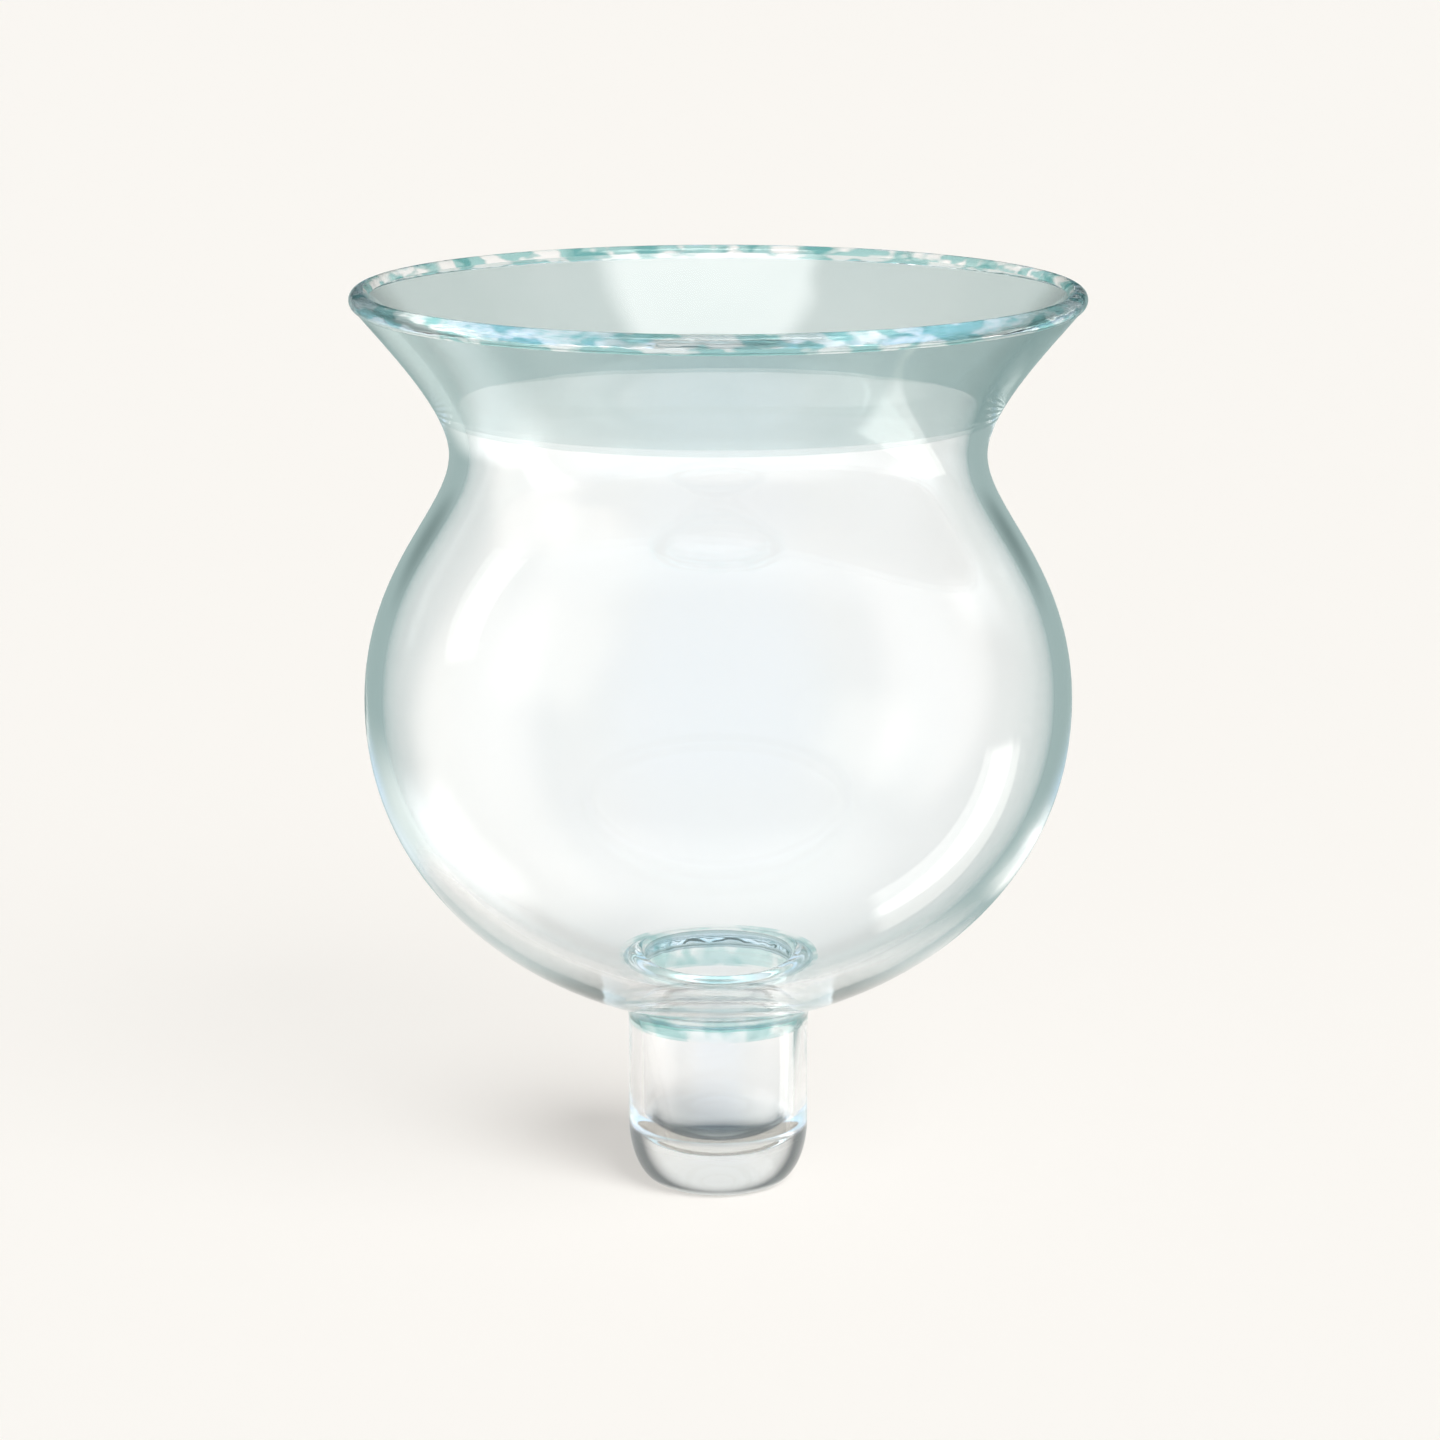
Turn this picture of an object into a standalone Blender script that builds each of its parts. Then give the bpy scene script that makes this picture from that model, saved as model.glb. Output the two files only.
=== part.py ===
"""A clear glass cup on a peg: a round bulb, a flared mouth and a short closed stem.

The cup is a body of revolution. It is modelled as the pieces a glassworker joins:
the closed stem, the seal ring that joins it to the bulb, the blown bulb, the flared
mouth above the neck, and the fire-polished bead that finishes the rim.

Lengths are in metres, +Z is up, and the origin is the centre of the flat foot.
Sections are drawn in the half plane of radius and height, then spun about Z.
"""
import math

import bmesh
import bpy
from mathutils import Vector

# Rim and flared mouth
RIM_RADIUS = 0.0400
RIM_BEAD_CENTRE_HEIGHT = 0.1004
RIM_BEAD_RADIUS = 0.0011
RIM_SLOPE = math.radians(50.0)

# Neck, belly and the edge where the bulb meets the seal ring, on the outer wall
NECK_RADIUS = 0.0294
NECK_HEIGHT = 0.0834
BELLY_RADIUS = 0.0391
BELLY_HEIGHT = 0.0557
SEAL_EDGE_RADIUS = 0.0123
SEAL_EDGE_HEIGHT = 0.0219
SEAL_SLOPE = math.radians(18.8)

# Lengths of the curve handles that set how full each stretch of the wall is
SEAL_TO_BELLY_HANDLES = (0.0152, 0.0172)
BELLY_TO_NECK_HANDLES = (0.0149, 0.0066)
NECK_TO_RIM_HANDLES = (0.0048, 0.0060)

# Wall thickness at the seal, the belly, the neck and the rim
WALL_THICKNESS = (0.0026, 0.0020, 0.0022, 0.0020)

# Seal ring: the raised lip around the opening in the bulb's floor
LIP_CREST_RADIUS = 0.0096
LIP_CREST_HEIGHT = 0.0253
LIP_TO_BULB_HANDLES = (0.0006, 0.0008)
LIP_TO_BORE_HANDLES = (0.0007, 0.0010)
FILLET_HANDLES = (0.0014, 0.0016)

# Stem: a tube with a closed, rounded end and a flat foot
STEM_RADIUS = 0.0101
STEM_TOP_HEIGHT = 0.0190
BORE_RADIUS = 0.0085
LIP_BORE_HEIGHT = 0.0235
FOOT_RADIUS = 0.0066
FOOT_CORNER_HEIGHT = 0.0069
BORE_FLOOR_HEIGHT = 0.0045
BORE_CORNER_RADIUS = 0.0032

# Stations along the outer wall: 0 is the seal edge, 1 the belly, 2 the neck, 3 the rim
SEAL_STATION = 0.0
MOUTH_STATION = 2.28
RIM_STATION = 3.0

JOINT_GAP = 0.0003
SEGMENTS = 48
BULB_STEPS = 18
MOUTH_STEPS = 7
BEAD_STEPS = 10
CURVE_STEPS = 5
CORNER_STEPS = 6
STATION_PROBE = 0.001
MERGE_DISTANCE = 1e-7
SHARP_ANGLE = math.radians(40.0)

UP = Vector((0.0, 1.0))
OUTWARD = Vector((1.0, 0.0))

CLEAR_GLASS = (0.90, 0.95, 0.96, 1.0)
TINTED_GLASS = (0.72, 0.83, 0.83, 1.0)
EDGE_GLASS = (0.45, 0.68, 0.66, 1.0)


def direction(angle):
    """Return the unit vector at an angle above the horizontal."""
    return Vector((math.cos(angle), math.sin(angle)))


def left_of(vector):
    """Return a vector turned a quarter turn to the left, which points into the cup's wall."""
    return Vector((-vector.y, vector.x))


def cubic_point(curve, t):
    """Return the point at t, from 0 to 1, on a cubic Bezier curve of four points."""
    a, b, c, d = curve
    s = 1.0 - t
    return a * s**3 + b * (3 * s * s * t) + c * (3 * s * t * t) + d * t**3


def cubic_tangent(curve, t):
    """Return the unit tangent at t on a cubic Bezier curve."""
    a, b, c, d = curve
    s = 1.0 - t
    return ((b - a) * (s * s) + (c - b) * (2 * s * t) + (d - c) * (t * t)).normalized()


def cubic_points(curve, steps):
    """Return evenly stepped points on a cubic Bezier curve, both ends included."""
    return [cubic_point(curve, i / steps) for i in range(steps + 1)]


def ellipse_arc(centre, half_width, half_height, start, end, steps):
    """Return points on an ellipse's arc, both ends included."""
    points = []
    for i in range(steps + 1):
        angle = start + (end - start) * i / steps
        points.append(centre + Vector((half_width * math.cos(angle), half_height * math.sin(angle))))
    return points


def bead_centre():
    """Return the centre of the rim bead's round section."""
    return Vector((RIM_RADIUS - RIM_BEAD_RADIUS, RIM_BEAD_CENTRE_HEIGHT))


def bead_chord_distance():
    """Return how far the wall's end face lies from the bead's centre."""
    half_wall = WALL_THICKNESS[-1] / 2
    return math.sqrt(RIM_BEAD_RADIUS**2 - half_wall**2)


def wall_curves():
    """Return the outer wall's three curves: seal to belly, belly to neck, neck to rim."""
    rising = direction(RIM_SLOPE)
    half_wall = WALL_THICKNESS[-1] / 2
    seal = Vector((SEAL_EDGE_RADIUS, SEAL_EDGE_HEIGHT))
    belly = Vector((BELLY_RADIUS, BELLY_HEIGHT))
    neck = Vector((NECK_RADIUS, NECK_HEIGHT))
    rim = bead_centre() - left_of(rising) * half_wall - rising * bead_chord_distance()
    leaving_seal = direction(SEAL_SLOPE) * SEAL_TO_BELLY_HANDLES[0]
    reaching_rim = rising * NECK_TO_RIM_HANDLES[1]
    return (
        (seal, seal + leaving_seal, belly - UP * SEAL_TO_BELLY_HANDLES[1], belly),
        (belly, belly + UP * BELLY_TO_NECK_HANDLES[0], neck - UP * BELLY_TO_NECK_HANDLES[1], neck),
        (neck, neck + UP * NECK_TO_RIM_HANDLES[0], rim - reaching_rim, rim),
    )


def wall_point(station, depth):
    """Return the point at a depth under the outer wall's surface, at a station on it."""
    curves = wall_curves()
    index = min(int(station), len(curves) - 1)
    t = station - index
    return cubic_point(curves[index], t) + left_of(cubic_tangent(curves[index], t)) * depth


def wall_thickness(station):
    """Return the wall's thickness at a station."""
    index = min(int(station), len(WALL_THICKNESS) - 2)
    lower = WALL_THICKNESS[index]
    upper = WALL_THICKNESS[index + 1]
    return lower + (upper - lower) * (station - index)


def station_after(station, distance):
    """Return the station that lies a small distance further along the outer wall."""
    probe = -STATION_PROBE if station >= RIM_STATION else STATION_PROBE
    probe_length = (wall_point(station + probe, 0.0) - wall_point(station, 0.0)).length
    return station + distance * STATION_PROBE / probe_length


def wall_section(first, last, steps):
    """Return the closed section of the wall between two stations."""
    outer = []
    inner = []
    for i in range(steps + 1):
        station = first + (last - first) * i / steps
        outer.append(wall_point(station, 0.0))
        inner.append(wall_point(station, wall_thickness(station)))
    return outer + inner[::-1]


def glass_material(name, colour):
    """Return a clear, smooth glass material in a given tint."""
    material = bpy.data.materials.new(name)
    material.use_nodes = True
    shader = material.node_tree.nodes["Principled BSDF"]
    shader.inputs["Base Color"].default_value = colour
    shader.inputs["Metallic"].default_value = 0.0
    shader.inputs["Roughness"].default_value = 0.03
    shader.inputs["IOR"].default_value = 1.5
    shader.inputs["Transmission Weight"].default_value = 1.0
    return material


def spun_object(name, section, material, closed=True):
    """Spin a section about Z. An open section's two end rings are filled as flat discs."""
    mesh_data = bpy.data.meshes.new(name)
    mesh = bmesh.new()
    verts = [mesh.verts.new((point.x, 0.0, point.y)) for point in section]
    edges = [mesh.edges.new(pair) for pair in zip(verts, verts[1:])]
    if closed:
        edges.append(mesh.edges.new((verts[-1], verts[0])))
    bmesh.ops.spin(
        mesh, geom=verts + edges, cent=(0, 0, 0), axis=(0, 0, 1), dvec=(0, 0, 0),
        angle=math.tau, steps=SEGMENTS, use_merge=True, use_normal_flip=False, use_duplicate=False,
    )
    bmesh.ops.remove_doubles(mesh, verts=mesh.verts, dist=MERGE_DISTANCE)
    if not closed:
        rings = [edge for edge in mesh.edges if edge.is_boundary]
        bmesh.ops.holes_fill(mesh, edges=rings, sides=SEGMENTS)
    bmesh.ops.recalc_face_normals(mesh, faces=mesh.faces)
    mesh.to_mesh(mesh_data)
    mesh.free()
    mesh_data.shade_smooth()
    mesh_data.set_sharp_from_angle(angle=SHARP_ANGLE)
    mesh_data.materials.append(material)
    spun = bpy.data.objects.new(name, mesh_data)
    bpy.context.scene.collection.objects.link(spun)
    return spun


def stem():
    """The closed tube that plugs into a holder: flat foot, rounded end, straight bore."""
    top = STEM_TOP_HEIGHT - JOINT_GAP / 2
    foot_corner = ellipse_arc(
        Vector((FOOT_RADIUS, FOOT_CORNER_HEIGHT)),
        STEM_RADIUS - FOOT_RADIUS, FOOT_CORNER_HEIGHT,
        -math.pi / 2, 0.0, CORNER_STEPS,
    )
    bore_corner = ellipse_arc(
        Vector((BORE_RADIUS - BORE_CORNER_RADIUS, BORE_FLOOR_HEIGHT + BORE_CORNER_RADIUS)),
        BORE_CORNER_RADIUS, BORE_CORNER_RADIUS,
        0.0, -math.pi / 2, CORNER_STEPS,
    )
    tube_top = [Vector((STEM_RADIUS, top)), Vector((BORE_RADIUS, top))]
    section = foot_corner + tube_top + bore_corner
    return spun_object("stem", section, glass_material("stem_glass", CLEAR_GLASS), closed=False)


def seal_ring():
    """The thick ring of glass that joins stem and bulb, with a lip around the bore's mouth."""
    start = station_after(SEAL_STATION, -JOINT_GAP / 2)
    outer_edge = wall_point(start, 0.0)
    inner_edge = wall_point(start, wall_thickness(SEAL_STATION))
    to_stem = -direction(SEAL_SLOPE)
    bottom = STEM_TOP_HEIGHT + JOINT_GAP / 2
    stem_edge = Vector((STEM_RADIUS, bottom))
    crest = Vector((LIP_CREST_RADIUS, LIP_CREST_HEIGHT))
    bore_edge = Vector((BORE_RADIUS, LIP_BORE_HEIGHT))
    fillet = (outer_edge, outer_edge + to_stem * FILLET_HANDLES[0], stem_edge + UP * FILLET_HANDLES[1],
              stem_edge)
    bore_side = (bore_edge, bore_edge + UP * LIP_TO_BORE_HANDLES[1],
                 crest - OUTWARD * LIP_TO_BORE_HANDLES[0], crest)
    bulb_side = (crest, crest + OUTWARD * LIP_TO_BULB_HANDLES[0],
                 inner_edge + to_stem * LIP_TO_BULB_HANDLES[1], inner_edge)
    section = cubic_points(fillet, CURVE_STEPS)
    section.append(Vector((BORE_RADIUS, bottom)))
    section += cubic_points(bore_side, CURVE_STEPS)
    section += cubic_points(bulb_side, CURVE_STEPS)[1:]
    return spun_object("seal_ring", section, glass_material("seal_ring_glass", EDGE_GLASS))


def bulb():
    """The blown bulb, from the seal ring's edge over the belly to just above the neck."""
    first = station_after(SEAL_STATION, JOINT_GAP / 2)
    last = station_after(MOUTH_STATION, -JOINT_GAP / 2)
    section = wall_section(first, last, BULB_STEPS)
    return spun_object("bulb", section, glass_material("bulb_glass", CLEAR_GLASS))


def flared_mouth():
    """The mouth that widens from just above the neck to the rim bead."""
    first = station_after(MOUTH_STATION, JOINT_GAP / 2)
    last = station_after(RIM_STATION, -JOINT_GAP / 2)
    section = wall_section(first, last, MOUTH_STEPS)
    return spun_object("flared_mouth", section, glass_material("mouth_glass", TINTED_GLASS))


def rim_bead():
    """The fire-polished bead: a round section with a flat side against the mouth's end."""
    along = direction(RIM_SLOPE)
    across = left_of(along)
    chord = bead_chord_distance() - JOINT_GAP / 2
    half_turn = math.pi - math.acos(chord / RIM_BEAD_RADIUS)
    section = []
    for i in range(BEAD_STEPS + 1):
        angle = half_turn * (2 * i / BEAD_STEPS - 1)
        offset = along * math.cos(angle) + across * math.sin(angle)
        section.append(bead_centre() + offset * RIM_BEAD_RADIUS)
    return spun_object("rim_bead", section, glass_material("rim_bead_glass", EDGE_GLASS))


def clear_scene():
    """Remove every object, so that the scene holds only the cup."""
    for old in list(bpy.data.objects):
        bpy.data.objects.remove(old, do_unlink=True)


clear_scene()
for build_piece in (stem, seal_ring, bulb, flared_mouth, rim_bead):
    build_piece()
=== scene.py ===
import math

import bmesh
import bpy
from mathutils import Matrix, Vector


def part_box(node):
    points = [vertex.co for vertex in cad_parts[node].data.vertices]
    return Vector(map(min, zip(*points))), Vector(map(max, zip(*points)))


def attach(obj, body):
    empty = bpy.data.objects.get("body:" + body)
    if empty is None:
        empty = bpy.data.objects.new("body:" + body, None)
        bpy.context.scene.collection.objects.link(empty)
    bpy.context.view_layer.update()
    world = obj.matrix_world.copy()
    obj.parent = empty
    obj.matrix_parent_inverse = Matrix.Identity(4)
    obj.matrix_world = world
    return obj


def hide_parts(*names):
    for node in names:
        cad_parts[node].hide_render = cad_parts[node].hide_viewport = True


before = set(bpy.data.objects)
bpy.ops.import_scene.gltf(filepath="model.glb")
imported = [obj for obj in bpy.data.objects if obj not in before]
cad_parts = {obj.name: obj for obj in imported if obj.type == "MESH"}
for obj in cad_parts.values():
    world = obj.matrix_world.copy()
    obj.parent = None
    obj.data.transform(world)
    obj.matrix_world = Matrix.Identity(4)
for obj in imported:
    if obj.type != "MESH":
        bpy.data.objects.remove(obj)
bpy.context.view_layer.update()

MM = 0.001

# ------------------------------------------------------------------ sizes of the glass
# Profiles are points (radius, height) in metres, turned about the vertical axis.
RIM_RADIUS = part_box("rim_bead")[1][0]
RIM_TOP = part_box("rim_bead")[1][2]
BELLY_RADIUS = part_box("bulb")[1][0]
STEM_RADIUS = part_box("stem")[1][0]
STEM_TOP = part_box("stem")[1][2]
CREST_DROP = 0.6 * MM  # how far the lip's crest lies under the CAD's
CREST_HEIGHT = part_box("seal_ring")[1][2] - CREST_DROP

BEAD_RADIUS = 1.1 * MM
RIM_SLOPE = math.radians(50.0)
NECK = Vector((29.4, 83.4)) * MM
BELLY = Vector((BELLY_RADIUS, 55.7 * MM))
SEAL_EDGE = Vector((12.3, 21.9)) * MM
SEAL_SLOPE = math.radians(18.8)
SEAL_TO_BELLY_HANDLES = (15.2 * MM, 17.2 * MM)
BELLY_TO_NECK_HANDLES = (14.9 * MM, 6.6 * MM)
NECK_TO_RIM_HANDLES = (4.8 * MM, 6.0 * MM)
WALL_THICKNESS = (2.6 * MM, 2.0 * MM, 2.2 * MM, 2.0 * MM)  # at the seal, belly, neck and rim
MOUTH_STATION = 2.28

BORE_RADIUS = 8.5 * MM
BORE_FLOOR = 4.5 * MM
BORE_CORNER = (5.5 * MM, 4.5 * MM)  # rounding inwards and upwards; the CAD's is 3.2 mm both ways
BORE_LIP_HEIGHT = 23.5 * MM
CREST_RADIUS = 9.3 * MM  # the CAD's is 9.6 mm
FOOT_FLAT_RADIUS = 6.6 * MM
FOOT_CORNER_HEIGHT = 6.9 * MM
FILLET_HANDLES = (1.4 * MM, 1.6 * MM)  # under the seal ring, from the bulb to the stem
BORE_SIDE_HANDLES = (1.0 * MM, 0.7 * MM)  # over the lip, from the bore to the crest
BULB_SIDE_HANDLES = (0.9 * MM, 1.3 * MM)  # over the lip, from the crest to the bulb

SEAM_GAP = 0.01 * MM
SEGMENTS = 192
FOOT_STEPS = 24
BORE_STEPS = 18
FILLET_STEPS = 20
LIP_STEPS = 14
BULB_STEPS = 90
MOUTH_STEPS = 30
BEAD_STEPS = 32
SHARP_ANGLE = math.radians(50.0)
ON_AXIS = 1e-9  # a point nearer to the axis than this is on it
UP = Vector((0.0, 1.0))
OUTWARD = Vector((1.0, 0.0))


def heading(angle):
    """Unit vector in the profile plane, at this angle above the outward direction."""
    return Vector((math.cos(angle), math.sin(angle)))


def left_of(vector):
    """The vector turned a quarter turn anticlockwise in the profile plane."""
    return Vector((-vector.y, vector.x))


def cubic_point(curve, t):
    """The point at t, from 0 to 1, on a cubic curve of four points."""
    start, leave, arrive, end = curve
    s = 1.0 - t
    return start * s**3 + leave * (3 * s * s * t) + arrive * (3 * s * t * t) + end * t**3


def cubic_tangent(curve, t):
    """The unit vector along a cubic curve at t."""
    start, leave, arrive, end = curve
    s = 1.0 - t
    slope = (leave - start) * (s * s) + (arrive - leave) * (2 * s * t) + (end - arrive) * (t * t)
    return slope.normalized()


def cubic_points(curve, steps):
    """Points stepped evenly along a cubic curve, both ends included."""
    return [cubic_point(curve, i / steps) for i in range(steps + 1)]


def arc_points(centre, radii, start, end, steps):
    """Points on an ellipse about the centre, from one angle to another."""
    points = []
    for i in range(steps + 1):
        angle = start + (end - start) * i / steps
        points.append(centre + Vector((radii[0] * math.cos(angle), radii[1] * math.sin(angle))))
    return points


# ------------------------------------------------------------------ the blown wall
BEAD_CENTRE = Vector((RIM_RADIUS - BEAD_RADIUS, RIM_TOP - BEAD_RADIUS))
BEAD_CHORD = math.sqrt(BEAD_RADIUS**2 - (WALL_THICKNESS[-1] / 2) ** 2)


def wall_curves():
    """The outer wall as three curves: seal to belly, belly to neck, neck to rim."""
    rising = heading(RIM_SLOPE)
    rim = BEAD_CENTRE - left_of(rising) * (WALL_THICKNESS[-1] / 2) - rising * BEAD_CHORD
    return (
        (SEAL_EDGE, SEAL_EDGE + heading(SEAL_SLOPE) * SEAL_TO_BELLY_HANDLES[0],
         BELLY - UP * SEAL_TO_BELLY_HANDLES[1], BELLY),
        (BELLY, BELLY + UP * BELLY_TO_NECK_HANDLES[0], NECK - UP * BELLY_TO_NECK_HANDLES[1], NECK),
        (NECK, NECK + UP * NECK_TO_RIM_HANDLES[0], rim - rising * NECK_TO_RIM_HANDLES[1], rim),
    )


WALL_CURVES = wall_curves()
RIM_STATION = float(len(WALL_CURVES))
STATION_PROBE = 0.001


def wall_point(station, depth):
    """A point of the wall: station 0 is the seal and 3 the rim, depth is measured inwards."""
    index = min(int(station), len(WALL_CURVES) - 1)
    curve = WALL_CURVES[index]
    t = station - index
    return cubic_point(curve, t) + left_of(cubic_tangent(curve, t)) * depth


def wall_thickness(station):
    """The wall's thickness at a station, eased from each stated one to the next."""
    index = min(int(station), len(WALL_CURVES) - 1)
    lower, upper = WALL_THICKNESS[index:index + 2]
    t = station - index
    return lower + (upper - lower) * t * t * (3 - 2 * t)


def station_after(station, distance):
    """The station this far along the outer wall from another one."""
    probe = -STATION_PROBE if station >= RIM_STATION else STATION_PROBE
    length = (wall_point(station + probe, 0.0) - wall_point(station, 0.0)).length
    return station + distance * STATION_PROBE / length


def wall_section(first, last, steps):
    """A closed section between two stations, up the outside and down the inside."""
    outer = []
    inner = []
    for i in range(steps + 1):
        station = first + (last - first) * i / steps
        outer.append(wall_point(station, 0.0))
        inner.append(wall_point(station, wall_thickness(station)))
    return outer + inner[::-1]


# ------------------------------------------------------------------ turning a section
def ring_of(bm, point):
    """The vertices of one turned point: a single one on the axis, otherwise a full ring."""
    if point.x < ON_AXIS:
        return [bm.verts.new((0.0, 0.0, point.y))]
    ring = []
    for k in range(SEGMENTS):
        angle = math.tau * k / SEGMENTS
        ring.append(bm.verts.new((point.x * math.cos(angle), point.x * math.sin(angle), point.y)))
    return ring


def turned(name, section, seams, closed=True):
    """Turn a section into an object; edges in seams, by index, join it to its neighbours."""
    mesh = bpy.data.meshes.new(name)
    bm = bmesh.new()
    rings = [ring_of(bm, point) for point in section]
    count = len(rings)
    for i in range(count if closed else count - 1):
        lower = rings[i]
        upper = rings[(i + 1) % count]
        for k in range(SEGMENTS):
            after = (k + 1) % SEGMENTS
            if len(lower) == 1:
                face = bm.faces.new((lower[0], upper[after], upper[k]))
            elif len(upper) == 1:
                face = bm.faces.new((lower[k], lower[after], upper[0]))
            else:
                face = bm.faces.new((lower[k], lower[after], upper[after], upper[k]))
            face.material_index = 1 if i in seams else 0
            face.smooth = True
    bmesh.ops.recalc_face_normals(bm, faces=bm.faces)
    bm.to_mesh(mesh)
    bm.free()
    mesh.set_sharp_from_angle(angle=SHARP_ANGLE)
    piece = bpy.data.objects.new(name, mesh)
    bpy.context.scene.collection.objects.link(piece)
    return piece


# ------------------------------------------------------------------ node helpers
# A Mix node has sockets of the same name for each kind of data. These are the places of its colour ones.
MIX_FACTOR = 0
MIX_FIRST_COLOUR = 6
MIX_SECOND_COLOUR = 7
MIX_COLOUR_RESULT = 2


class Nodes:
    """Short calls for building a node tree."""

    def __init__(self, tree):
        self.tree = tree

    def add(self, kind, **settings):
        """A new node of this kind, with these settings."""
        node = self.tree.nodes.new(kind)
        for key, value in settings.items():
            setattr(node, key, value)
        return node

    def feed(self, value, socket):
        """Link an output to an input, or set a plain value on it."""
        if isinstance(value, bpy.types.NodeSocket):
            self.tree.links.new(value, socket)
        else:
            socket.default_value = value

    def math(self, operation, first, second=0.0):
        """A Math node's result; operations on one number leave the second out."""
        node = self.add("ShaderNodeMath", operation=operation)
        self.feed(first, node.inputs[0])
        self.feed(second, node.inputs[1])
        return node.outputs[0]

    def vector(self, operation, first, second):
        """A Vector Math node's result: a number for a dot product, otherwise a vector."""
        node = self.add("ShaderNodeVectorMath", operation=operation)
        self.feed(first, node.inputs[0])
        self.feed(second, node.inputs["Scale"] if operation == "SCALE" else node.inputs[1])
        return node.outputs["Value" if operation == "DOT_PRODUCT" else "Vector"]

    def smooth(self, value, low, high):
        """0 below low and 1 above high, with a soft step between (low may be the greater)."""
        node = self.add("ShaderNodeMapRange", interpolation_type="SMOOTHSTEP")
        self.feed(value, node.inputs["Value"])
        self.feed(low, node.inputs["From Min"])
        self.feed(high, node.inputs["From Max"])
        return node.outputs["Result"]

    def blend(self, factor, first, second):
        """Mix two colours: the first at a factor of 0, the second at 1."""
        node = self.add("ShaderNodeMix", data_type="RGBA")
        self.feed(factor, node.inputs[MIX_FACTOR])
        self.feed(first, node.inputs[MIX_FIRST_COLOUR])
        self.feed(second, node.inputs[MIX_SECOND_COLOUR])
        return node.outputs[MIX_COLOUR_RESULT]

    def noise(self, place, scale, detail):
        """Noise from 0 to 1 at a place."""
        node = self.add("ShaderNodeTexNoise")
        self.feed(place, node.inputs["Vector"])
        node.inputs["Scale"].default_value = scale
        node.inputs["Detail"].default_value = detail
        return node.outputs["Fac"]


# ------------------------------------------------------------------ materials
GLASS_IOR = 1.5
TINT_DETAIL = 2.0
RIPPLE_SCALE = 1.7  # how much finer the ripple is than the tint's drift
RIPPLE_DETAIL = 1.0
EDGE_SHADE_FACING = (0.30, 0.57)  # how far a face turns from the eye, from no painted shade to the full painted shade
EDGE_SHADE_FADE = 1.2 * MM
UPRIGHT = (0.0, 0.0, 1.0)


def glass(name, pale, deep, scale, stretch, ripple, contrast=(0.35, 0.65), low_tint=None, edge_on_shade=None):
    """Blown glass: a tint that drifts from pale to deep, and a ripple this high in metres. On the mouth,
    bead and seal the tint is partly painted shade.

    low_tint is (top height, bottom height, tint), a tint that grows towards the bottom height.
    edge_on_shade is (top height, bottom height, tint), painted shade: a dark tint seen only edge on,
    between the heights, standing in for dark reflections.
    """
    material = bpy.data.materials.new(name)
    material.use_nodes = True
    n = Nodes(material.node_tree)
    shader = material.node_tree.nodes["Principled BSDF"]
    shader.inputs["Roughness"].default_value = 0.0
    shader.inputs["IOR"].default_value = GLASS_IOR
    shader.inputs["Transmission Weight"].default_value = 1.0
    point = n.add("ShaderNodeTexCoord").outputs["Object"]
    place = n.vector("MULTIPLY", point, stretch)
    drift = n.smooth(n.noise(place, scale, TINT_DETAIL), *contrast)
    tint = n.blend(drift, (*pale, 1.0), (*deep, 1.0))
    height = n.vector("DOT_PRODUCT", point, UPRIGHT)
    if low_tint:
        top, bottom, low = low_tint
        tint = n.blend(n.smooth(height, top, bottom), tint, (*low, 1.0))
    # Painted shade: faces seen edge on turn dark, standing in for the dark reflections at the foot's
    # corners.
    if edge_on_shade:
        top, bottom, dark = edge_on_shade
        edge_on = n.smooth(n.add("ShaderNodeLayerWeight").outputs["Facing"], *EDGE_SHADE_FACING)
        below_top = n.smooth(height, top, top - EDGE_SHADE_FADE)
        above_bottom = n.smooth(height, bottom, bottom + EDGE_SHADE_FADE)
        zone = n.math("MULTIPLY", below_top, above_bottom)
        tint = n.blend(n.math("MULTIPLY", edge_on, zone), tint, (*dark, 1.0))
    n.feed(tint, shader.inputs["Base Color"])
    bump = n.add("ShaderNodeBump")
    bump.inputs["Distance"].default_value = ripple
    n.feed(n.noise(place, scale * RIPPLE_SCALE, RIPPLE_DETAIL), bump.inputs["Height"])
    n.feed(bump.outputs["Normal"], shader.inputs["Normal"])
    return material


def seam_material():
    """The faces where two pieces are melted into one: there is no surface there to see."""
    material = bpy.data.materials.new("melted_seam")
    material.use_nodes = True
    tree = material.node_tree
    tree.nodes.remove(tree.nodes["Principled BSDF"])
    clear = tree.nodes.new("ShaderNodeBsdfTransparent")
    tree.links.new(clear.outputs[0], tree.nodes["Material Output"].inputs["Surface"])
    return material


SEAM = seam_material()
BULB_GLASS = glass("bulb_glass", (0.98, 0.99, 1.0), (0.965, 0.985, 0.995), 45.0, (1, 1, 0.5), 0.02 * MM)
# Painted shade: the flare's glass is tinted far darker than the bulb's, standing in for the dark
# surroundings its downward face reflects.
SHADED_MOUTH_GLASS = glass("mouth_glass", (0.64, 0.735, 0.74), (0.60, 0.705, 0.71), 60.0, (1, 1, 0.5), 0.02 * MM)
# Painted shade: the bead's deep teal patches are dark dashes standing in for what the rim reflects, not the
# colour of its glass.
SHADED_BEAD_GLASS = glass("bead_glass", (1.0, 1.0, 1.0), (0.16, 0.46, 0.46), 210.0, (1, 1, 3), 0.10 * MM,
                   contrast=(0.47, 0.57))
# The seal's pale aqua is the thick glass's own colour; its deep aqua patches are painted shade, standing in
# for the dark aqua marks round the bore.
SEAL_GLASS_AND_SHADE = glass("seal_glass", (0.92, 0.98, 0.98), (0.42, 0.69, 0.69), 230.0, (1, 1, 0.6), 0.10 * MM,
                   contrast=(0.42, 0.58))
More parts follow.
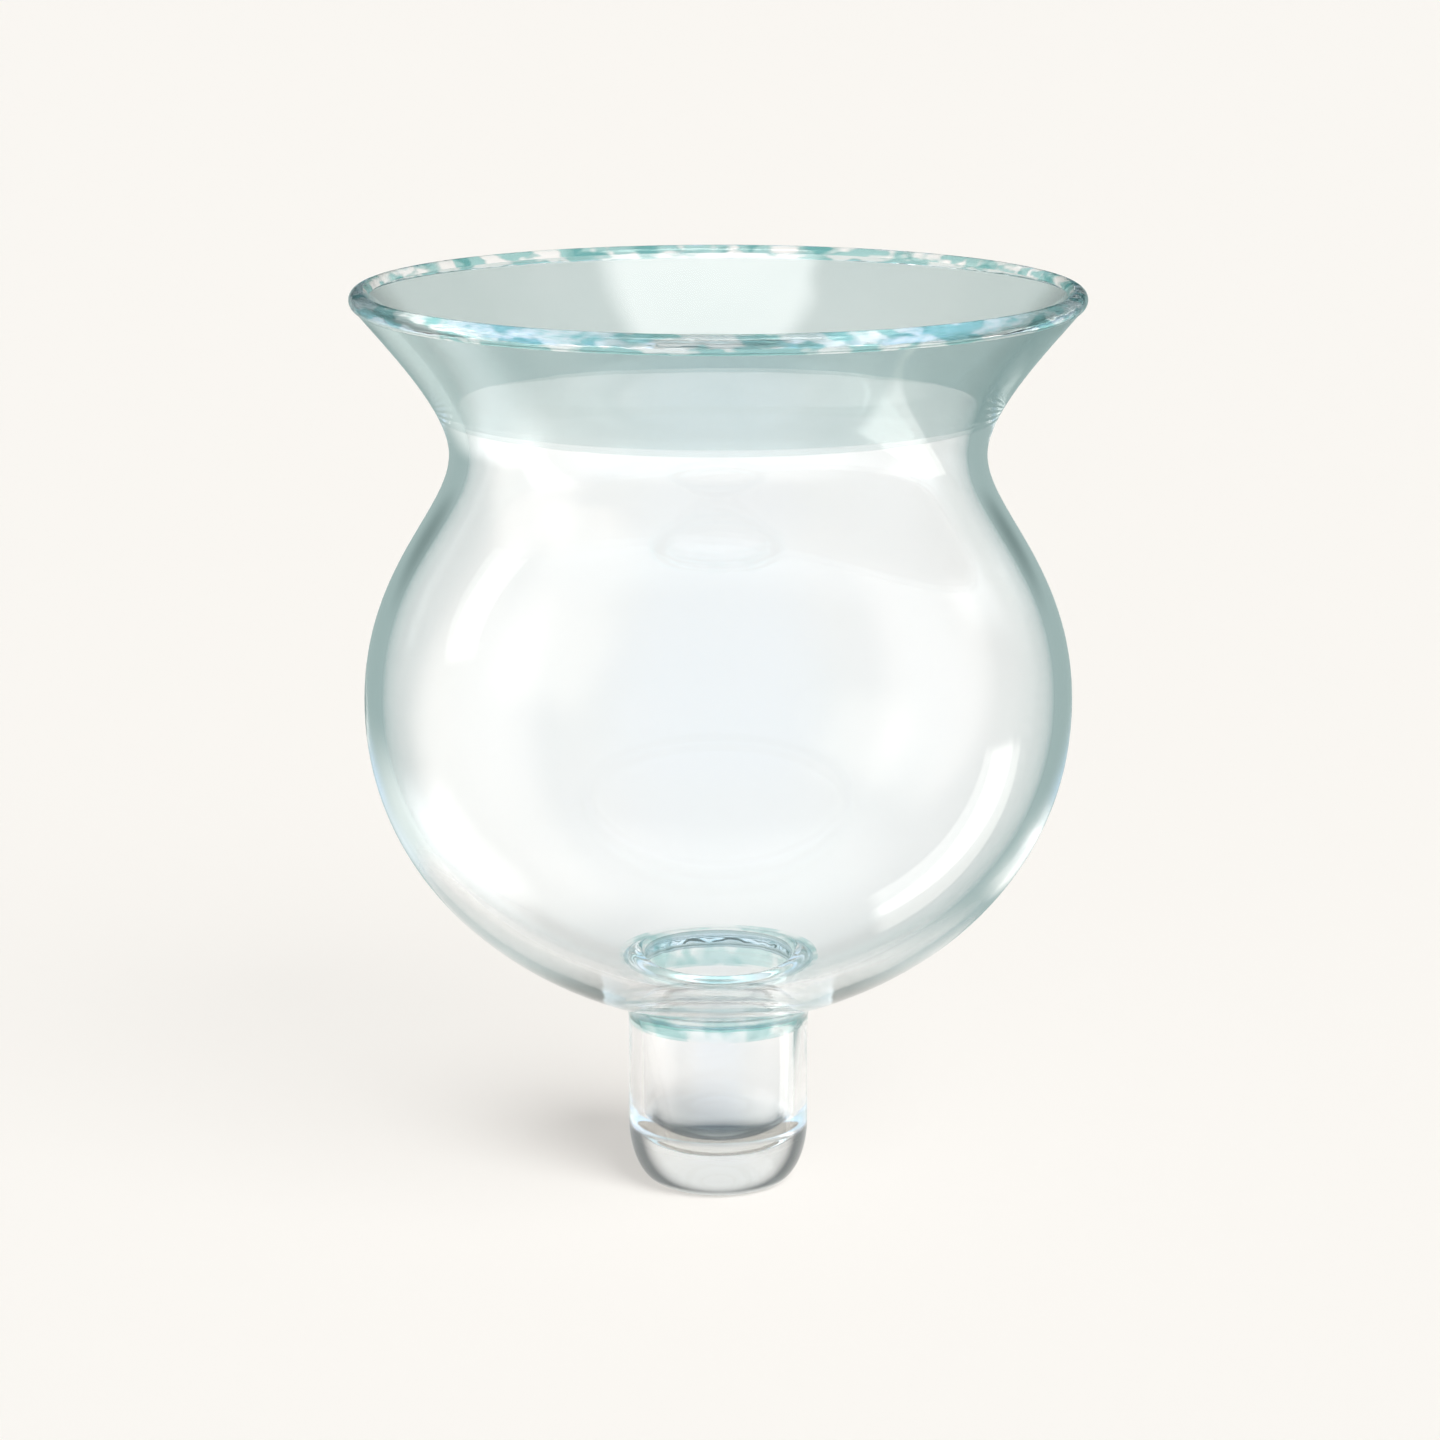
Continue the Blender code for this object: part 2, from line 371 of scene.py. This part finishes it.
# The near-black marks on the stem's foot corners are painted shade, not a colour of the glass.
STEM_GLASS = glass("stem_glass", (0.99, 0.995, 1.0), (0.965, 0.98, 0.99), 120.0, (1, 1, 0.6), 0.05 * MM,
                   low_tint=(9 * MM, 0.0, (0.76, 0.80, 0.81)), edge_on_shade=(7.6 * MM, 0.0, (0.03, 0.04, 0.045)))


def place_piece(piece, node, material):
    """Put glass on a piece and have it stand in for its CAD node."""
    piece.data.materials.append(material)
    piece.data.materials.append(SEAM)
    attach(piece, "root")
    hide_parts(node)


# ------------------------------------------------------------------ pieces
def make_stem():
    """The hollow stem with its rounded, closed foot."""
    quarter = math.pi / 2
    foot_radii = (STEM_RADIUS - FOOT_FLAT_RADIUS, FOOT_CORNER_HEIGHT)
    foot = arc_points(Vector((FOOT_FLAT_RADIUS, FOOT_CORNER_HEIGHT)), foot_radii, -quarter, 0.0,
                      FOOT_STEPS)
    corner = Vector((BORE_RADIUS - BORE_CORNER[0], BORE_FLOOR + BORE_CORNER[1]))
    bore = arc_points(corner, BORE_CORNER, 0.0, -quarter, BORE_STEPS)
    top = STEM_TOP - SEAM_GAP / 2
    top_edge = [Vector((STEM_RADIUS, top)), Vector((BORE_RADIUS, top))]
    section = [Vector((0.0, 0.0))] + foot + top_edge + bore + [Vector((0.0, BORE_FLOOR))]
    place_piece(turned("stem_piece", section, {len(foot) + 1}, closed=False), "stem", STEM_GLASS)


def make_seal_ring():
    """The ring of glass where the stem is melted onto the bulb, with a lip round the bore."""
    start = station_after(0.0, -SEAM_GAP / 2)
    outer_edge = wall_point(start, 0.0)
    inner_edge = wall_point(start, WALL_THICKNESS[0])
    inwards = -heading(SEAL_SLOPE)
    bottom = STEM_TOP + SEAM_GAP / 2
    stem_edge = Vector((STEM_RADIUS, bottom))
    crest = Vector((CREST_RADIUS, CREST_HEIGHT))
    bore_lip = Vector((BORE_RADIUS, BORE_LIP_HEIGHT))
    fillet = cubic_points(
        (outer_edge, outer_edge + inwards * FILLET_HANDLES[0],
         stem_edge + UP * FILLET_HANDLES[1], stem_edge), FILLET_STEPS)
    bore_side = cubic_points(
        (bore_lip, bore_lip + UP * BORE_SIDE_HANDLES[0],
         crest - OUTWARD * BORE_SIDE_HANDLES[1], crest), LIP_STEPS)
    bulb_side = cubic_points(
        (crest, crest + OUTWARD * BULB_SIDE_HANDLES[0],
         inner_edge + inwards * BULB_SIDE_HANDLES[1], inner_edge), LIP_STEPS)
    section = fillet + [Vector((BORE_RADIUS, bottom))] + bore_side + bulb_side[1:]
    place_piece(turned("seal_ring_piece", section, {len(fillet) - 1, len(section) - 1}), "seal_ring",
                SEAL_GLASS_AND_SHADE)


def make_bulb():
    """The round bulb, from the seal to just above the neck."""
    section = wall_section(
        station_after(0.0, SEAM_GAP / 2), station_after(MOUTH_STATION, -SEAM_GAP / 2), BULB_STEPS)
    place_piece(turned("bulb_piece", section, {BULB_STEPS, len(section) - 1}), "bulb", BULB_GLASS)


def make_flared_mouth():
    """The flare, in glass tinted darker teal as painted shade."""
    section = wall_section(
        station_after(MOUTH_STATION, SEAM_GAP / 2), station_after(RIM_STATION, -SEAM_GAP / 2),
        MOUTH_STEPS)
    place_piece(turned("flared_mouth_piece", section, {MOUTH_STEPS, len(section) - 1}), "flared_mouth",
                SHADED_MOUTH_GLASS)


def make_rim_bead():
    """The fire-polished bead round the rim."""
    along = heading(RIM_SLOPE)
    half_turn = math.pi - math.acos(BEAD_CHORD / BEAD_RADIUS)
    centre = BEAD_CENTRE + along * SEAM_GAP / 2
    section = arc_points(centre, (BEAD_RADIUS, BEAD_RADIUS), RIM_SLOPE - half_turn,
                         RIM_SLOPE + half_turn, BEAD_STEPS)
    place_piece(turned("rim_bead_piece", section, {BEAD_STEPS}), "rim_bead", SHADED_BEAD_GLASS)


make_stem()
make_seal_ring()
make_bulb()
make_flared_mouth()
make_rim_bead()

# ------------------------------------------------------------------ camera
CAMERA_PITCH = math.radians(13.0)
CAMERA_DISTANCE = 466.2 * MM
CAMERA_TARGET = Vector((0.19, 0.0, 53.2)) * MM
CAMERA_SENSOR = 36.0  # millimetres, as is the lens
CAMERA_LENS = 105.0
CAMERA_REACH = 50.0
VIEW_DIRECTION = Vector((0.0, math.cos(CAMERA_PITCH), -math.sin(CAMERA_PITCH)))
CAMERA_PLACE = CAMERA_TARGET - VIEW_DIRECTION * CAMERA_DISTANCE

camera_data = bpy.data.cameras.new("camera")
camera_data.sensor_width = CAMERA_SENSOR
camera_data.lens = CAMERA_LENS
camera_data.clip_end = CAMERA_REACH
camera = bpy.data.objects.new("camera", camera_data)
camera.location = CAMERA_PLACE
camera.rotation_euler = (math.pi / 2 - CAMERA_PITCH, 0.0, 0.0)
bpy.context.scene.collection.objects.link(camera)
bpy.context.scene.camera = camera

# ------------------------------------------------------------------ floor
# The camera and rays that go straight through the glass see the floor, or past its edge a backdrop of
# the same colour. Rays mirrored by the glass see only a patch of floor behind the foot, and elsewhere
# the studio, which draws the glass's edges.
FLOOR_HALF_SIZE = 12.0
FLOOR_COLOUR = (0.956, 0.930, 0.888)
MIRRORED_FLOOR_MIDDLE = (-0.012, 0.043, 0.0)
MIRRORED_FLOOR_REACH = (0.048, 0.066)
UNDER_ONE = 0.5  # a count of bounces above this is one or more


def path_masks(n):
    """Masks for two kinds of ray: those that light the floor, and those mirrored by the glass."""
    path = n.add("ShaderNodeLightPath").outputs
    spread = n.math("GREATER_THAN", path["Diffuse Depth"], UNDER_ONE)
    lit = n.math("MAXIMUM", path["Is Diffuse Ray"], spread)
    mirrored = n.math("GREATER_THAN", path["Glossy Depth"], UNDER_ONE)
    return lit, n.math("MULTIPLY", mirrored, n.math("SUBTRACT", 1.0, lit))


def make_floor():
    """The pale floor, which rays mirrored by the glass see only near the middle of its patch."""
    mesh = bpy.data.meshes.new("floor")
    bm = bmesh.new()
    bmesh.ops.create_grid(bm, x_segments=1, y_segments=1, size=FLOOR_HALF_SIZE)
    bm.to_mesh(mesh)
    bm.free()
    floor = bpy.data.objects.new("floor", mesh)
    bpy.context.scene.collection.objects.link(floor)
    material = bpy.data.materials.new("floor")
    material.use_nodes = True
    n = Nodes(material.node_tree)
    paper = material.node_tree.nodes["Principled BSDF"]
    paper.inputs["Base Color"].default_value = (*FLOOR_COLOUR, 1.0)
    paper.inputs["Roughness"].default_value = 1.0
    paper.inputs["Specular IOR Level"].default_value = 0.0
    place = n.vector("SUBTRACT", n.add("ShaderNodeTexCoord").outputs["Object"], MIRRORED_FLOOR_MIDDLE)
    reach = n.math("SQRT", n.vector("DOT_PRODUCT", place, place))
    mirrored = path_masks(n)[1]
    absent = n.math("MULTIPLY", n.smooth(reach, *MIRRORED_FLOOR_REACH), mirrored)
    mix = n.add("ShaderNodeMixShader")
    n.feed(absent, mix.inputs[0])
    n.feed(paper.outputs[0], mix.inputs[1])
    n.feed(n.add("ShaderNodeBsdfTransparent").outputs[0], mix.inputs[2])
    n.feed(mix.outputs[0], material.node_tree.nodes["Material Output"].inputs["Surface"])
    mesh.materials.append(material)


make_floor()

# ------------------------------------------------------------------ light
# The floor is lit by soft suns alone. What the glass mirrors is a studio: a pale room, a dark ring about
# the photo's line of sight, and soft windows.
STUDIO_BACK = (0.42, 0.52, 0.51)
STUDIO_FRONT = (0.86, 0.98, 1.05)
STUDIO_TURN = (-0.5, 0.3)  # how far towards the camera's side the back turns into the front
RING_COLOUR = (0.35, 0.46, 0.445)
RING_INNER = (7.0, 13.0)  # degrees from the line of sight, over which the ring begins
RING_OUTER = (30.0, 50.0)  # and over which it ends
CAMERA_SIDE = (0.0, -1.0, 0.0)
# Each window: azimuth and elevation of its middle, half its width and height, softness of its
# edge, and the light it adds. All but the softness and the light are in degrees. Azimuth 0 is the
# camera's side and 90 is the right. The last one is a dark card, which takes light away.
WINDOWS = (
    (106, -36, 8, 23, 0.10, (2.0, 1.9, 1.8)),
    (-88, -14, 25, 50, 0.45, (1.2, 1.05, 0.95)),
    (-62, 28, 17, 18, 0.55, (0.9, 0.8, 0.7)),
    (-120, -37, 14, 14, 0.50, (1.5, 1.45, 1.45)),
    (-152, -31, 15, 13, 0.50, (0.45, 0.42, 0.40)),
    (0, -58, 40, 20, 0.60, (0.84, 0.87, 0.88)),
    (0, 5, 34, 50, 0.60, (0.0, 0.10, 0.28)),
    (180, 10, 26, 9, 0.50, (-0.32, -0.39, -0.38)),
)
# A light over the mouth, mirrored only by the first surface of glass that a ray meets.
MOUTH_LIGHT = (5, 72, 23, 10, 0.20)
MOUTH_RADIANCE = (6.4, 6.2, 6.1)
SMALL_DEPTH = 0.0001  # keeps window_mask from dividing by nothing


def studio_direction(azimuth, elevation):
    """Unit vector towards a place in the studio, from angles in degrees."""
    across = math.radians(azimuth)
    above = math.radians(elevation)
    return Vector((math.sin(across) * math.cos(above), -math.cos(across) * math.cos(above),
                   math.sin(above)))


def window_mask(n, ray, azimuth, elevation, half_width, half_height, softness):
    """1 where a ray meets the window and 0 elsewhere, with a soft edge."""
    middle = studio_direction(azimuth, elevation)
    side = Vector((-middle.y, middle.x, 0.0)).normalized()
    above = middle.cross(side)
    depth = n.vector("DOT_PRODUCT", ray, middle)
    safe_depth = n.math("MAXIMUM", depth, SMALL_DEPTH)
    mask = n.math("GREATER_THAN", depth, 0.0)
    for axis, half_angle in ((side, half_width), (above, half_height)):
        offset = n.math("ABSOLUTE", n.math("DIVIDE", n.vector("DOT_PRODUCT", ray, axis), safe_depth))
        edge = math.tan(math.radians(half_angle))
        inside = n.smooth(offset, edge * (1 + softness), edge * (1 - softness))
        mask = n.math("MULTIPLY", mask, inside)
    return mask


def ring_mask(n, ray):
    """1 in the dark ring about the line of sight and 0 elsewhere."""
    along = n.vector("DOT_PRODUCT", ray, VIEW_DIRECTION)
    inner = n.smooth(along, *(math.cos(math.radians(angle)) for angle in RING_INNER))
    outer = n.smooth(along, *(math.cos(math.radians(angle)) for angle in reversed(RING_OUTER)))
    return n.math("MULTIPLY", inner, outer)


def make_world():
    """The studio for mirrored rays, and a backdrop of the floor's colour for the others."""
    world = bpy.data.worlds.new("studio")
    bpy.context.scene.world = world
    world.use_nodes = True
    n = Nodes(world.node_tree)
    world.cycles_visibility.diffuse = False
    lit, mirrored = path_masks(n)
    backdrop = world.node_tree.nodes["Background"]
    backdrop.inputs["Color"].default_value = (*FLOOR_COLOUR, 1.0)
    n.feed(n.math("SUBTRACT", 1.0, lit), backdrop.inputs["Strength"])
    ray = n.add("ShaderNodeTexCoord").outputs["Generated"]
    forward = n.smooth(n.vector("DOT_PRODUCT", ray, CAMERA_SIDE), *STUDIO_TURN)
    room = n.blend(forward, (*STUDIO_BACK, 1.0), (*STUDIO_FRONT, 1.0))
    colour = n.blend(ring_mask(n, ray), room, (*RING_COLOUR, 1.0))
    for *shape, radiance in WINDOWS:
        shine = n.vector("SCALE", radiance, window_mask(n, ray, *shape))
        colour = n.vector("ADD", colour, shine)
    near_side = n.math("LESS_THAN", n.add("ShaderNodeLightPath").outputs["Transmission Depth"], UNDER_ONE)
    mouth_mask = n.math("MULTIPLY", near_side, window_mask(n, ray, *MOUTH_LIGHT))
    colour = n.vector("ADD", colour, n.vector("SCALE", MOUTH_RADIANCE, mouth_mask))
    studio = n.add("ShaderNodeBackground")
    n.feed(colour, studio.inputs["Color"])
    mix = n.add("ShaderNodeMixShader")
    n.feed(mirrored, mix.inputs[0])
    n.feed(backdrop.outputs[0], mix.inputs[1])
    n.feed(studio.outputs[0], mix.inputs[2])
    n.feed(mix.outputs[0], world.node_tree.nodes["World Output"].inputs["Surface"])


def make_sun(name, towards, degrees, strength, shadow, blockers=None):
    """A soft sun, this many degrees wide, that lights the floor and isn't seen in the glass."""
    light = bpy.data.lights.new(name, "SUN")
    light.angle = math.radians(degrees)
    light.energy = strength
    light.use_shadow = shadow
    lamp = bpy.data.objects.new(name, light)
    lamp.rotation_euler = Vector(towards).to_track_quat("Z", "Y").to_euler()
    lamp.visible_glossy = False
    lamp.visible_transmission = False
    bpy.context.scene.collection.objects.link(lamp)
    if blockers:
        thick = bpy.data.collections.new(name + "_blockers")
        for blocker in blockers:
            thick.objects.link(bpy.data.objects[blocker])
        lamp.light_linking.blocker_collection = thick


KEY_DIRECTION = (0.45, -0.62, 0.68)  # from the upper right, on the camera's side

make_world()
# Thin glass casts a faint shadow, and the thick stem and seal cast a deeper one.
make_sun("key", KEY_DIRECTION, 40.0, 0.14, True)
make_sun("stem_key", KEY_DIRECTION, 38.0, 1.70, True, ("stem_piece", "seal_ring_piece"))
make_sun("fill", UPRIGHT, 10.0, 1.92, False)

# ------------------------------------------------------------------ view and paths
GLASS_BOUNCES = 128  # light runs round inside the rim bead for a long way
CLEAR_BOUNCES = 64

scene = bpy.context.scene
scene.view_settings.view_transform = "Standard"
scene.cycles.max_bounces = GLASS_BOUNCES
scene.cycles.transmission_bounces = GLASS_BOUNCES
scene.cycles.glossy_bounces = GLASS_BOUNCES
scene.cycles.transparent_max_bounces = CLEAR_BOUNCES
